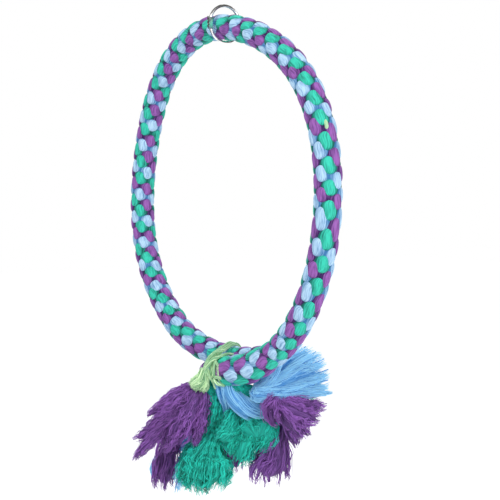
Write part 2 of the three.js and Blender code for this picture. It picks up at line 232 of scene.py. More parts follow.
# %% The middle of the rope
RING_RADIUS = 165.0
ROPE_RADIUS = 13.3
HOOP_INNER_RADIUS = 16.7
REST_GAP = 0.3
SAG_WAVES = (  # waves per turn, and the cosine's and the sine's share of the radius
    (2, 0.028, -0.0144), (3, -0.003, -0.0045), (4, -0.0048, -0.0158), (5, -0.004, -0.0017),
)
FRONT_END, REAR_END = 178.0, -197.0
TOP_RADIUS = RING_RADIUS * (1 + sum(wave[1] for wave in SAG_WAVES))
RING_MIDDLE_Z = REST_GAP + ROPE_RADIUS - 2 * HOOP_INNER_RADIUS - TOP_RADIUS
PASSING_OFFSET = ROPE_RADIUS + 0.3  # half the distance between the ends where they pass
PASSING = (148, 28)  # from this many degrees from the top, over this many more
REAR_INWARD, REAR_INWARD_AT = 6, (160, 30)
REAR_RETURN, REAR_RETURN_AT = 8, (180, 24)


def ease(x, start, span):
    """A smooth step from 0 to 1 that begins at start and is done a span later."""
    x = np.clip((x - start) / span, 0, 1)
    return x * x * (3 - 2 * x)


def rope_point(degrees):
    """The rope's middle at an angle from the top, positive down the +X side."""
    degrees = np.asarray(degrees, float)
    angle, passed = np.radians(degrees), np.abs(degrees)
    share = 1 + sum(c * np.cos(n * angle) + s * np.sin(n * angle) for n, c, s in SAG_WAVES)
    rear = degrees < 0
    radius = RING_RADIUS * share - rear * REAR_INWARD * ease(passed, *REAR_INWARD_AT)
    y = -np.sign(degrees) * PASSING_OFFSET * ease(passed, *PASSING)
    y = y + rear * REAR_RETURN * ease(passed, *REAR_RETURN_AT)
    return np.stack([radius * np.sin(angle), y, RING_MIDDLE_Z + radius * np.cos(angle)], axis=-1)


def unit(v):
    return v / np.linalg.norm(v, axis=-1, keepdims=True)


NEARBY = 0.2  # degrees either way, to find the rope's direction


def rope_frame(degrees):
    """Centre, ahead, outward and forward (towards -Y) at each angle."""
    centre, degrees = rope_point(degrees), np.asarray(degrees)
    ahead = unit(rope_point(degrees + NEARBY) - rope_point(degrees - NEARBY))
    outward = centre * [1, 0, 1] - [0, 0, RING_MIDDLE_Z]
    outward = unit(outward - np.sum(outward * ahead, -1, keepdims=True) * ahead)
    return centre, ahead, outward, np.cross(ahead, outward)


ROPE_SAMPLES = 1501
ANGLES = np.linspace(REAR_END, FRONT_END, ROPE_SAMPLES)
steps = np.linalg.norm(np.diff(rope_point(ANGLES), axis=0), axis=1)
ALONG = np.concatenate([[0], np.cumsum(steps)])
ALONG -= np.interp(0, ANGLES, ALONG)
print("rope from", round(ALONG[0]), "to", round(ALONG[-1]), "mm along its middle")


def angle_at(along):
    return np.interp(along, ALONG, ANGLES)


# %% [markdown]
# ## Making tubes
#
# A strand, a cord and a single hair are all the same shape, a section carried along a line.
# One helper makes a mesh from rings of points, and another carries a round section along many
# lines at once. Each mesh keeps a UV map, whose U runs along the yarn in metres and whose V
# runs round it, so that a material can draw fibres along the yarn.


# %% Mesh helpers
def tube_parts(rings, along, shade):
    """Faces, UVs and shades of tubes: rings is (tubes, stations, sides, 3) in mm."""
    tubes, stations, sides = rings.shape[:3]
    index = np.arange(tubes * stations * sides).reshape(tubes, stations, sides)
    a, d = index[:, :-1], index[:, 1:]
    b, c = np.roll(a, -1, axis=2), np.roll(d, -1, axis=2)
    quads = np.stack([a, b, c, d], axis=-1).reshape(-1, 4)
    caps = np.concatenate([index[:, 0, ::-1], index[:, -1]])
    turn = np.broadcast_to(np.arange(sides) / sides, index.shape)
    u = np.broadcast_to(along[:, :, None] * MM, index.shape)
    v0, v1 = turn[:, :-1], turn[:, :-1] + 1 / sides
    corners = [(u[:, :-1], v0), (u[:, :-1], v1), (u[:, 1:], v1), (u[:, 1:], v0)]
    quad_uv = np.stack([np.stack(corner, -1) for corner in corners], axis=-2).reshape(-1, 2)
    cap_uv = np.stack([u.reshape(-1), turn.reshape(-1)], -1)[caps.ravel()]
    shade = np.asarray(shade, float)
    shades = np.broadcast_to(shade if shade.ndim == 3 else shade[..., None], index.shape)
    return rings.reshape(-1, 3), quads, caps, quad_uv, cap_uv, shades.ravel()


def mesh_from_tubes(name, groups):
    """One mesh from groups of tubes, each group a (rings, along, shade)."""
    parts = zip(*(tube_parts(*group) for group in groups))
    points, quads, caps, quad_uvs, cap_uvs, shades = parts
    loops, sizes, uvs, start = [], [], [], 0
    for i in range(len(points)):
        loops += [(quads[i] + start).ravel(), (caps[i] + start).ravel()]
        sizes += [np.full(len(quads[i]), 4), np.full(len(caps[i]), caps[i].shape[1])]
        uvs += [quad_uvs[i], cap_uvs[i]]
        start += len(points[i])
    points, loops, sizes = np.concatenate(points), np.concatenate(loops), np.concatenate(sizes)
    starts = np.concatenate([[0], np.cumsum(sizes)[:-1]])
    mesh = bpy.data.meshes.new(name)
    mesh.vertices.add(len(points))
    mesh.vertices.foreach_set("co", (points * MM).astype(np.float32).ravel())
    mesh.loops.add(len(loops))
    mesh.loops.foreach_set("vertex_index", loops.astype(np.int32))
    mesh.polygons.add(len(sizes))
    mesh.polygons.foreach_set("loop_start", starts.astype(np.int32))
    mesh.update(calc_edges=True)
    layer = mesh.uv_layers.new(name="yarn")
    layer.data.foreach_set("uv", np.concatenate(uvs).astype(np.float32).ravel())
    shade = mesh.attributes.new("shade", "FLOAT", "POINT")
    shade.data.foreach_set("value", np.concatenate(shades).astype(np.float32))
    mesh.polygons.foreach_set("use_smooth", np.ones(len(sizes), bool))
    return mesh


STEEP = 0.9  # where a line starts this upright, up can't be its first helper direction


def carried_frames(lines):
    """Two directions across each line that turn as little as they can."""
    ahead = unit(np.gradient(lines, axis=1))
    helper = np.where(np.abs(ahead[:, :1, 2:]) < STEEP, [[[0, 0, 1.0]]], [[[1.0, 0, 0]]])
    across = np.empty_like(lines)
    across[:, 0] = unit(np.cross(helper[:, 0], ahead[:, 0]))
    for i in range(1, lines.shape[1]):
        side = across[:, i - 1]
        across[:, i] = unit(side - np.sum(side * ahead[:, i], -1, keepdims=True) * ahead[:, i])
    return across, np.cross(ahead, across)


def tube_rings(lines, radii, sides):
    """Rings of points round many lines at once."""
    across, over = (x[:, :, None] for x in carried_frames(lines))
    turn = (2 * np.pi * np.arange(sides) / sides)[:, None]
    ring = across * np.cos(turn) + over * np.sin(turn)
    return lines[:, :, None] + ring * radii[:, :, None, None]


def lengths_along(lines):
    steps = np.linalg.norm(np.diff(lines, axis=1), axis=2)
    return np.concatenate([np.zeros((len(lines), 1)), np.cumsum(steps, axis=1)], axis=1)


def add_piece(name, mesh, material, node):
    """A soft piece of the rope ring, which stands for the plain solid of one node."""
    obj = add_object(name, mesh)
    mesh.materials.append(material)
    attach(obj, "perch")
    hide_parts(node)


# %% [markdown]
# ## Yarn
#
# Acrylic yarn is a bundle of fine fibres that lie almost parallel. It is dull, with a soft
# sheen at its edges, and light and dark streaks run along it where fibres bunch together. The
# streaks are noise that is stretched along U. Each mesh adds its own shade to them: a random
# tone in the tassels, painted shade that darkens the hollows, and pale tips. The sum picks a
# colour between the yarn's dark and light one. Light passes through loose fibres, and a trace
# of glow, painted light, stands for that.

# %% Yarn material
STREAKS_ALONG, STREAKS_ROUND = 45, 15  # how far U and V are stretched
DARK_AT, LIGHT_AT = 0.1, 0.95
FIBRE_DEPTH = 0.0006


def set_inputs(shader, **inputs):
    for name, value in inputs.items():
        shader.inputs[name.replace("_", " ")].default_value = value


def bumped(tree, shader, height, strength, distance):
    lift = add_node(tree, "Bump", Strength=strength, Distance=distance)
    tree.links.new(height, lift.inputs["Height"])
    tree.links.new(lift.outputs["Normal"], shader.inputs["Normal"])


def yarn_material(name, dark, light, bump=0.25, streak=1.0, glow=0.0):
    made, tree, shader = new_material(name)
    link = tree.links.new
    uv = add_node(tree, "UVMap")
    uv.uv_map = "yarn"
    scale = add_node(tree, "Mapping", Scale=(STREAKS_ALONG, STREAKS_ROUND, 1))
    link(uv.outputs["UV"], scale.inputs["Vector"])
    streaks = add_node(tree, "TexNoise", Scale=2, Detail=4)
    fine = add_node(tree, "TexNoise", Scale=5, Detail=3)
    for noise in (streaks, fine):
        link(scale.outputs[0], noise.inputs["Vector"])
    attribute = add_node(tree, "Attribute")
    attribute.attribute_name = "shade"
    add = add_node(tree, "Math")
    add.operation = "MULTIPLY_ADD"
    add.inputs[1].default_value = streak
    link(streaks.outputs["Fac"], add.inputs[0])
    link(attribute.outputs["Fac"], add.inputs[2])
    ramp = add_node(tree, "ValToRGB")
    ends = zip(ramp.color_ramp.elements, (DARK_AT, LIGHT_AT), (dark, light))
    for end, position, colour in ends:
        end.position, end.color = position, (*colour, 1)
    link(add.outputs[0], ramp.inputs["Fac"])
    link(ramp.outputs["Color"], shader.inputs["Base Color"])
    link(ramp.outputs["Color"], shader.inputs["Emission Color"])
    set_inputs(shader, Emission_Strength=glow, Roughness=0.7, Specular_IOR_Level=0.25)
    set_inputs(shader, Sheen_Weight=0.08, Sheen_Roughness=0.4)
    bumped(tree, shader, fine.outputs["Fac"], bump, FIBRE_DEPTH)
    return made


# %% Yarn colours
STRAND_COLOURS = {  # dark and light
    "teal": ((0.003, 0.12, 0.1), (0.045, 0.66, 0.48)),
    "blue": ((0.05, 0.2, 0.44), (0.52, 0.76, 0.98)),
    "purple": ((0.04, 0.012, 0.1), (0.36, 0.13, 0.48)),
}
FRAYED_COLOURS = {  # dark, light and glow
    "teal": ((0.002, 0.17, 0.13), (0.03, 0.86, 0.68), 0.0),
    "blue": ((0.01, 0.17, 0.52), (0.35, 0.72, 1.0), 0.1),
    "purple": ((0.014, 0.005, 0.05), (0.38, 0.15, 0.58), 0.02),
    "lime": ((0.08, 0.33, 0.15), (0.76, 1.0, 0.62), 0.12),
}
STRAND_YARN = {
    colour: yarn_material(f"{colour} strand", dark, light, bump=0.4, streak=2.2)
    for colour, (dark, light) in STRAND_COLOURS.items()
}
FRAYED_YARN = {
    colour: yarn_material(f"{colour} frayed", dark, light, glow=glow)
    for colour, (dark, light, glow) in FRAYED_COLOURS.items()
}
print("yarn materials:", len(STRAND_YARN) + len(FRAYED_YARN))

# %% [markdown]
# ## Metal
#
# The hoop is nickel plated wire. It could be one bright metal, but a plated ring that has hung
# in a cage has fine scratches, which make its reflections sharp in one place and soft in the
# next. A fine noise in the object's own space varies the roughness and gives a trace of bump.
# The dark lines along the wire are reflections of the black cards.

# %% Nickel
NICKEL = (0.80, 0.785, 0.765, 1)
SCRATCH_SCALE = 900
POLISHED, SCRATCHED = 0.12, 0.34
SCRATCH_BUMP, SCRATCH_DEPTH = 0.15, 0.0002


def nickel_material():
    made, tree, shader = new_material("nickel")
    set_inputs(shader, Base_Color=NICKEL, Metallic=1)
    place = add_node(tree, "TexCoord")
    scratches = add_node(tree, "TexNoise", Scale=SCRATCH_SCALE, Detail=4)
    rough = add_node(tree, "MapRange", To_Min=POLISHED, To_Max=SCRATCHED)
    tree.links.new(place.outputs["Object"], scratches.inputs["Vector"])
    tree.links.new(scratches.outputs["Fac"], rough.inputs["Value"])
    tree.links.new(rough.outputs["Result"], shader.inputs["Roughness"])
    bumped(tree, shader, scratches.outputs["Fac"], SCRATCH_BUMP, SCRATCH_DEPTH)
    return made


nickel = nickel_material()
for name in ("hoop_upper_half", "hoop_lower_half", "hinge_rivet"):
    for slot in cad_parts[name].material_slots:
        slot.material = nickel
    print(name, "is nickel")

# %% [markdown]
# ## The plait
#
# Nine strands in three groups of three. At any place three strands lie on the outside and the
# others pass inside. Each strand comes up, shows for most of a cell as a slanting leaf, dives
# through the middle of the rope and comes up again a third of the way round. A picture of a
# plait on a plain tube would be flat at its edge, so each strand is a tube of its own that goes
# over and under the others. Cells are counted along the rope from marks that were measured
# along it, because a hand made plait is tighter at the top than at its sides.

# %% Cells along the rope
CELL_MARKS = (
    (-206, -11), (-151, -8), (-95, -5), (-39, -2), (8, 0), (30, 1), (48, 2), (70, 3), (89, 4),
    (112, 5), (132, 6), (150, 7), (172, 8), (189, 9), (211, 10), (232, 11), (251, 12), (268, 13),
    (296, 14), (317, 15), (337, 16), (362, 17), (382, 18), (402, 19), (418, 20), (435, 21),
    (455, 22),
)
FRONT_CELL, REAR_CELL = 20.3, 18.7  # mm, for the cells beyond the marks
FRONT_CELLS, REAR_CELLS = 4, 22
mark_along = np.array([m[0] for m in CELL_MARKS], float)
mark_cell = np.array([m[1] for m in CELL_MARKS], float)
front_extra = np.arange(1, FRONT_CELLS + 1)
rear_extra = np.arange(REAR_CELLS, 0, -1)
mark_along = np.concatenate(
    [mark_along[0] - REAR_CELL * rear_extra, mark_along, mark_along[-1] + FRONT_CELL * front_extra]
)
mark_cell = np.concatenate([mark_cell[0] - rear_extra, mark_cell, mark_cell[-1] + front_extra])
first_cell = np.interp(ALONG[0], mark_along, mark_cell)
last_cell = np.interp(ALONG[-1], mark_along, mark_cell)
print("cells along the rope:", round(last_cell - first_cell, 1))

# %% One strand of the plait
GROUPS = (("teal", "purple", "blue"), ("blue", "purple", "teal"), ("teal", "blue", "purple"))
LATE_GROUP, LATE_AT = 1, (60, 30)  # its crossings fall one strand later from here on
STRAND_SIDES = 20
RINGS_PER_CELL = 24
THIRD = 120  # degrees
TWIST, TWIST_SWING, TWIST_CENTRE, TWIST_SPAN = 86, 59, -60, 190
SIDE_STEP, SLANT = 1.22, 0.7
FULL_HEIGHT, SUNK_HEIGHT = 9.4, 2.6
FULL_WIDTH, SUNK_WIDTH = 8.0, 1.2
FULL_THICKNESS, SUNK_THICKNESS = 3.9, 2.4
RISE_POWER, WIDTH_POWER = 3, 1.9  # a higher one keeps a cell full for longer
LEAF_POWER = 1.15  # above 1 the section's sides are sharper than an ellipse's
BOW_RADIUS = 15
SWELL_OUT, SWELL_GROWTH = 2.4, 0.17  # where the strands loosen before the front end
SWELL_FROM, SWELL_TO = (-85, 45), (-22, 14)
# Painted shade: a strand is darker at its sides and where it dives under the others, in the seams.
CELL_SHADE = -0.26
EDGE_SHADE, EDGE_POWER = 1.1, 2.6
DIVE_SHADE, DIVE_AT = 0.95, (0.14, 0.26)
RISE_SHADE, RISE_AT = 0.9, (0.22, 0.2)


def strand_place(cell, group, order):
    """How far along the rope, how far round it and where in its own cell a strand is."""
    mark = np.interp(cell, mark_cell, mark_along)
    late = ease(mark, *LATE_AT) if group == LATE_GROUP else 0
    phase = cell - (order + late) / 3
    q = phase - np.round(phase)
    turned = TWIST - TWIST_SWING * np.tanh((mark - TWIST_CENTRE) / TWIST_SPAN)
    turned = turned + THIRD * (cell - group)
    turned = turned - THIRD * SIDE_STEP * np.sin(2 * np.pi * q) / (2 * np.pi)
    before, after = (np.interp(cell + half, mark_cell, mark_along) for half in (-0.5, 0.5))
    along = mark + (after - before) * SLANT * np.sin(2 * np.pi * phase) / (2 * np.pi)
    return np.clip(along, ALONG[0], ALONG[-1]), np.radians(turned), q


def strand_rings(group, order):
    """Rings of points, the length along the rope and the painted shade of one strand."""
    cell = np.append(np.arange(first_cell, last_cell, 1 / RINGS_PER_CELL), last_cell)
    along, turned, q = strand_place(cell, group, order)
    risen = 1 - np.abs(2 * q) ** RISE_POWER
    wide = 1 - np.abs(2 * q) ** WIDTH_POWER
    height = SUNK_HEIGHT + (FULL_HEIGHT - SUNK_HEIGHT) * risen
    width = SUNK_WIDTH + (FULL_WIDTH - SUNK_WIDTH) * wide
    thick = SUNK_THICKNESS + (FULL_THICKNESS - SUNK_THICKNESS) * wide
    centre, _, outward, forward = rope_frame(angle_at(along))
    from_end = along - ALONG[-1]
    swell = ease(from_end, *SWELL_FROM) * (1 - ease(from_end, *SWELL_TO))
    centre = centre + outward * (SWELL_OUT * swell)[:, None]
    height, width, thick = (x * (1 + SWELL_GROWTH * swell) for x in (height, width, thick))
    out = outward * np.cos(turned)[:, None] + forward * np.sin(turned)[:, None]
    side = forward * np.cos(turned)[:, None] - outward * np.sin(turned)[:, None]
    turn = 2 * np.pi * np.arange(STRAND_SIDES) / STRAND_SIDES - np.pi / 2
    leaf = np.sign(np.sin(turn)) * np.abs(np.sin(turn)) ** LEAF_POWER
    x = width[:, None] * np.cos(turn)
    y = height[:, None] + thick[:, None] * leaf - risen[:, None] * x**2 / (2 * BOW_RADIUS)
    rings = centre[:, None] + out[:, None] * y[..., None] + side[:, None] * x[..., None]
    # Painted shade in the seams: darker at the strand's sides and at the ends of its cell.
    edge = EDGE_SHADE * np.abs(np.cos(turn)) ** EDGE_POWER
    tip = DIVE_SHADE * ease(q, *DIVE_AT) + RISE_SHADE * ease(-q, *RISE_AT)
    return rings, along, CELL_SHADE - np.maximum(edge[None], tip[:, None])


# %% Nine strands
for group, colours in enumerate(GROUPS):
    for order, colour in enumerate(colours):
        rings, along, shade = strand_rings(group, order)
        tube = (rings[None], along[None], shade[None])
        mesh = mesh_from_tubes(f"plait_{colour}_{group + 1}", [tube])
        node = f"strand_{colour}_{group + 1}"
        add_piece(mesh.name, mesh, STRAND_YARN[colour], node)
print("plaited strands:", sum(len(colours) for colours in GROUPS))

# %% [markdown]
# ## Where the tassels hang
#
# Each strand leaves the rope's end in its own slot, nine round the circle, and frays into a
# tassel. A tassel could be hair that grows from the end, but it has to hang where its plain
# solid is, so each one follows a route: points from the middle of the rope's end in
# millimetres, with the radius at each. The solids keep clear of each other, and real tassels
# lean on their neighbours, so those that show have fuller routes than their solids, in the same
# place, and a frizzy one divides into branches. The last four are hidden behind the others and
# keep the solids' own routes.

# %% Routes of the front tassels
def grown(stem, *branches):
    """Branches that leave the rope as one."""
    return tuple(stem + branch for branch in branches)


SLOT_ORDER = (
    "blue_1", "teal_1", "purple_1", "purple_2", "purple_3", "blue_3", "teal_2", "teal_3", "blue_2",
)
BRANCHES = {
    ("front", "teal_1"): (
        ((-13, -10, -11, 3.5), (-2, -9, -19, 7), (2, -6, -32, 8.5), (3, -6, -47, 9),
         (2, -8, -61, 10.5), (3, -13, -73, 15), (2, -16, -85, 23), (3, -17, -96, 28),
         (2, -16, -108, 27), (0, -15, -117, 21)),
    ),
    ("front", "teal_2"): grown(
        ((-21, 11, -7, 2.5), (-17, 12, -22, 4), (-3, 11, -34, 6)),
        ((12, 8, -43, 6.5), (22, 1, -49, 8), (25, -5, -58, 9.5), (24, -11, -65, 9),
         (21, -14, -68, 5)),
        ((11, 9, -44, 6.5), (19, 7, -54, 7), (23, 3, -65, 8.5), (24, -1, -75, 8), (24, 0, -83, 5)),
    ),
    ("front", "teal_3"): grown(
        ((-15, 15, -9, 3), (9, 8, -15, 5), (26, 5, -18, 6.5), (30, 9, -20, 5.5),
         (33, 13, -21, 6.5), (31, 20, -26, 6)),
        ((28, 24, -35, 7), (28, 24, -44, 11), (32, 22, -53, 17), (38, 20, -60, 21),
         (43, 17, -64, 19), (47, 14, -67, 13)),
        ((28, 24, -35, 7), (32, 26, -45, 11), (39, 29, -55, 13), (43, 29, -65, 12),
         (42, 24, -74, 10), (38, 19, -80, 6)),
        ((27, 23, -37, 8), (27, 18, -52, 12), (28, 15, -66, 13), (29, 11, -79, 13),
         (28, 8, -87, 11), (26, 7, -93, 7)),
    ),
    ("front", "blue_1"): grown(
        ((-15, -3, -12, 3), (-1, -3, -13, 4.5), (12, -4, -17, 6.5), (16, -3, -27, 6)),
        ((13, 3, -39, 4.5), (-3, 11, -54, 5), (-21, 8, -78, 5.5), (-35, 2, -104, 7.5),
         (-44, -6, -127, 7)),
        ((13, 3, -39, 4.5), (-6, 10, -57, 5), (-32, 1, -80, 5), (-47, -11, -101, 5.5),
         (-51, -17, -132, 6)),
        ((11, 3, -39, 4.5), (-10, 8, -57, 5), (-38, -7, -78, 5), (-57, -28, -95, 5),
         (-63, -36, -107, 4), (-62, -36, -119, 3)),
    ),
    ("front", "blue_2"): (
        ((-18, 4, -7, 2.5), (0, 2, -11, 5), (18, 1, -18, 7.5), (27, 1, -26, 8.5),
         (35, 6, -34, 9.5), (42, 13, -40, 9), (47, 24, -43, 7)),
    ),
    ("front", "blue_3"): (
        ((-23, 5, 2, 2.5), (-31, 8, -3, 3.5), (-34, 11, -18, 4), (-36, 22, -37, 6),
         (-39, 32, -54, 8), (-42, 36, -70, 5)),
    ),
    ("front", "purple_1"): (
        ((-14, -5, -6, 3.5), (-13, -10, -14, 5), (-12, -22, -20, 7), (-14, -40, -26, 7.5),
         (-18, -52, -35, 6.5), (-25, -61, -43, 5), (-28, -64, -48, 3)),
        ((-13, -6, -7, 4), (-11, -12, -17, 7), (-8, -34, -31, 10), (-13, -52, -50, 10),
         (-19, -65, -66, 8), (-26, -74, -79, 6), (-30, -80, -88, 4)),
        ((-13, -6, -8, 4), (-9, -15, -20, 9), (-3, -33, -37, 12), (-5, -44, -54, 12),
         (-9, -50, -68, 10), (-14, -55, -80, 5)),
        ((-12, -5, -8, 4), (-7, -12, -21, 7), (4, -21, -31, 9), (6, -25, -46, 9), (5, -27, -62, 8),
         (5, -25, -74, 5), (6, -21, -81, 3)),
        ((-12, -6, -8, 4), (-9, -18, -19, 7), (-10, -39, -32, 9), (-16, -55, -49, 9),
         (-25, -68, -63, 7), (-33, -77, -69, 4)),
        ((-12, -6, -8, 4), (-5, -17, -20, 8), (2, -30, -33, 10), (2, -36, -50, 10),
         (-2, -40, -64, 8), (-5, -43, -74, 5)),
    ),
    ("front", "purple_2"): (
        ((-19, -1, -1, 3), (-24, -1, -12, 4.5), (-28, -7, -26, 6), (-33, -16, -44, 7),
         (-35, -27, -63, 9), (-38, -32, -81, 12), (-40, -35, -99, 13.5), (-40, -36, -113, 13.5),
         (-41, -35, -124, 12)),
    ),
    ("front", "purple_3"): (
        ((-20, 2, 2, 2.5), (-29, 4, -5, 3.5), (-35, 5, -18, 5), (-37, 3, -37, 5.5),
         (-34, 8, -62, 6), (-19, 23, -85, 8), (-10, 29, -100, 8), (-8, 30, -110, 6)),
    ),
}
print("front tassels:", len(BRANCHES))

# %% Routes of the rear tassels
BRANCHES |= {
    ("rear", "blue_3"): grown(
        ((23, -5, 2, 2.5), (20, -9, -13, 3.5), (13, -16, -27, 6)),
        ((8, -22, -32, 7), (8, -16, -30, 7.5), (10, -6, -19, 8), (16, 9, -3, 8), (23, 26, 11, 7)),
        ((8, -23, -33, 7.5), (12, -17, -32, 8), (15, -2, -20, 9), (23, 15, -5, 10),
         (29, 34, 6, 8)),
        ((8, -23, -33, 7.5), (14, -18, -32, 8.5), (18, -2, -24, 9), (26, 19, -11, 10),
         (34, 40, -1, 8)),
        ((8, -23, -33, 7.5), (15, -18, -33, 8.5), (20, -2, -27, 9), (28, 20, -19, 10),
         (38, 42, -11, 8)),
        ((8, -23, -33, 7.5), (15, -18, -33, 8), (22, -3, -31, 8), (30, 18, -26, 9),
         (39, 41, -21, 8)),
        ((8, -23, -33, 7.5), (14, -17, -34, 7), (22, -3, -34, 6.5), (30, 17, -32, 6.5),
         (40, 39, -29, 6)),
        ((8, -23, -33, 7.5), (14, -17, -35, 6), (22, -3, -36, 4.5), (32, 18, -35, 3.5),
         (44, 42, -33, 2.5)),
    ),
    ("rear", "purple_3"): grown(
        ((17, -3, -6, 2.5), (11, -4, -22, 4)),
        ((15, -7, -32, 5), (24, -3, -40, 7), (33, 9, -42, 8.5), (39, 25, -44, 8),
         (42, 37, -43, 5)),
        ((15, -7, -32, 5), (25, -5, -43, 8), (34, 7, -50, 11), (38, 20, -56, 9), (40, 30, -59, 6)),
        ((14, -8, -32, 5), (22, -13, -39, 8), (24, -17, -46, 9), (24, -14, -54, 8),
         (25, -7, -62, 5)),
        ((15, -7, -32, 5), (23, -5, -45, 8), (29, 3, -57, 11), (31, 14, -68, 9), (33, 21, -74, 5)),
        ((11, -5, -34, 4), (19, 3, -51, 6), (21, 9, -69, 6), (22, 14, -80, 4.5),
         (23, 16, -87, 2.5)),
        ((14, -8, -32, 5), (22, -17, -38, 7), (22, -22, -42, 7), (20, -24, -47, 5)),
    ),
    ("rear", "purple_2"): (
        ((16, 3, -8, 3), (4, 5, -26, 3.5), (-3, 10, -47, 5), (-4, 12, -63, 7), (0, 9, -75, 10),
         (2, 5, -87, 15), (2, 2, -99, 19), (0, -1, -111, 21), (-2, 0, -122, 20)),
    ),
    ("rear", "purple_1"): (
        ((12, 10, -9, 2.5), (4, 15, -26, 3.5), (5, 27, -46, 5), (2, 35, -66, 6.5),
         (2, 36, -84, 5)),
    ),
    ("rear", "teal_2"): (
        ((20, 5, 7, 2.5), (13, 16, 10, 2.5), (-4, 26, 4, 3.5), (-10, 37, -18, 5), (2, 46, -35, 7),
         (11, 51, -42, 6)),
    ),
}
HIDDEN = {
    ("rear", "blue_1"): (
        (9, 12, 7, 2.5), (-8, 22, -7, 3.5), (-25, 22, -22, 5), (-34, 13, -46, 5.5),
        (-40, 7, -70, 7.5), (-41, 6, -90, 6),
    ),
    ("rear", "teal_1"): (
        (16, 8, 2, 2.5), (-2, 25, -13, 3.5), (-10, 24, -34, 5), (-20, 24, -55, 6.5),
        (-28, 25, -78, 8.5), (-33, 22, -98, 7),
    ),
    ("rear", "teal_3"): (
        (15, 1, 17, 2.5), (-3, 19, 19, 2.5), (-18, 31, 4, 4.5), (-27, 36, -16, 6),
        (-27, 36, -42, 7.5), (-25, 38, -57, 5.5),
    ),
    ("rear", "blue_2"): (
        (14, 7, 13, 2.5), (-11, 17, 13, 2.5), (-28, 22, -3, 4.5), (-40, 22, -22, 6),
        (-47, 21, -46, 7.5), (-48, 19, -64, 5.5),
    ),
}
print("rear tassels:", len(BRANCHES) + len(HIDDEN) - len(SLOT_ORDER))

# %% From a strand's cut face into its tassel
SLOT_RADIUS = 8.8
REAR_SLOT_SHIFT = -3  # the rear end's slots are turned by three places
ROOT_RADIUS, ROOT_STEPS = 2.6, (-4, 0.3, 3, 6)  # mm along the strand from its cut face
BRANCHED_ROOT = 3  # a tassel with a fuller route leaves the strand's line earlier
ROUTE_STEPS = 8


def smooth_rows(rows, steps=ROUTE_STEPS):
    """A smooth line through rows of values, with the same steps between each two."""
    rows = np.array(rows, float)
    before, after = 2 * rows[:1] - rows[1:2], 2 * rows[-1:] - rows[-2:-1]
    full = np.concatenate([before, rows, after])[:, None]
    p0, p1, p2, p3 = full[:-3], full[1:-2], full[2:-1], full[3:]
    t = (np.arange(steps) / steps)[None, :, None]
    line = 0.5 * (
        2 * p1 + (p2 - p0) * t + (2 * p0 - 5 * p1 + 4 * p2 - p3) * t**2
        + (3 * p1 - p0 - 3 * p2 + p3) * t**3
    )
    return np.concatenate([line.reshape(-1, rows.shape[1]), rows[-1:]])


def placed(rows, centre):
    """Rows of x, y, z and radius, moved from the middle of the rope's end to its place."""
    rows = np.array(rows, float)
    rows[:, :3] += centre
    return rows


def tassel_routes(end, strand):
    """The middle and radius of each branch of a tassel, from the strand's cut face."""
    front = end == "front"
    centre, ahead, outward, forward = rope_frame(FRONT_END if front else REAR_END)
    slot = SLOT_ORDER.index(strand) + (0 if front else REAR_SLOT_SHIFT)
    turn = 2 * math.pi * slot / len(SLOT_ORDER)
    face = centre + SLOT_RADIUS * (outward * math.cos(turn) + forward * math.sin(turn))
    away = ahead * (1 if front else -1)
    root = np.array([[*(face + away * step), ROOT_RADIUS] for step in ROOT_STEPS])
    if (end, strand) in HIDDEN:
        return [smooth_rows(np.concatenate([root, placed(HIDDEN[end, strand], centre)]))]
    return [
        smooth_rows(np.concatenate([root[:BRANCHED_ROOT], placed(branch, centre)]))
        for branch in BRANCHES[end, strand]
    ]


# %% [markdown]
# ## Frayed yarn
#
# A tassel is cut yarn that has been combed out: hundreds of fibres that leave the rope
# together and keep the crimp of the twist that they were in. Blender's hair could draw it, but
# here each fibre has to be a mesh in a solid's place, and has to look the same every time.
# Fibres that were twisted together still lie together in locks, so the helper first lays locks
# in the tassel's round section, each with its own wave, and then puts the fibres of a lock
# close round its middle. Each fibre stops at its own length, which makes the soft uneven tip.
#
# A look says how a tassel lies. Crimp and wave are the size and the length of a lock's waves in
# millimetres, lock is its radius, and frizz is how far single fibres stray. Flare is how much
# narrower the root is, ragged how much shorter some locks are, and swirl how far they wind.
# Ruffle and ridge are the height and the length of the folds that the whole tassel keeps. Fill
# is how many short locks, which start late, lie among the long ones, and cap is the share of
# locks that close the end. Body and blunt are the packed middle's radius and length, and tip is
# how pale the ends are.

# %% How each kind of tassel lies
COMBED = dict(
    crimp=0.12, wave=30, lock=2.0, frizz=0.05, flare=0, ragged=0.03, swirl=1.3,
    ruffle=0, ridge=8, fill=0, cap=0, body=0.9, blunt=0.7, tip=0.35,
)
HANGING = dict(
    crimp=0.7, wave=20, lock=2.2, frizz=0.18, flare=0.12, ragged=0.1, swirl=0.3,
    ruffle=0.3, ridge=14, fill=0.8, cap=0.2, body=0.7, blunt=0.8, tip=0.1,
)
RUFFLED = dict(
    crimp=0.6, wave=9, lock=2.6, frizz=0.35, flare=0.2, ragged=0.14, swirl=0.5,
    ruffle=1.3, ridge=6.5, fill=2.0, cap=0.3, body=0.8, blunt=0.82, tip=0.05,
)
FRIZZY = dict(
    crimp=1.0, wave=12, lock=1.9, frizz=0.5, flare=0.25, ragged=0.25, swirl=0.4,
    ruffle=0.6, ridge=9, fill=1.3, cap=0.2, body=0.68, blunt=0.75, tip=0.1,
)
FANNED = dict(
    crimp=0.3, wave=24, lock=2.2, frizz=0.14, flare=0.15, ragged=0.10, swirl=0.2,
    ruffle=0.3, ridge=16, fill=1.1, cap=0.2, body=0.72, blunt=0.8, tip=0.55,
)
PALE = dict(HANGING, tip=0.8)
LOOKS = {
    ("front", "teal_1"): RUFFLED, ("front", "teal_2"): RUFFLED, ("front", "teal_3"): RUFFLED,
    ("front", "purple_1"): FRIZZY, ("rear", "purple_3"): FRIZZY, ("rear", "blue_3"): FANNED,
    ("front", "blue_2"): COMBED, ("front", "blue_1"): PALE, ("front", "blue_3"): PALE,
    ("rear", "blue_1"): PALE, ("rear", "blue_2"): PALE,
}
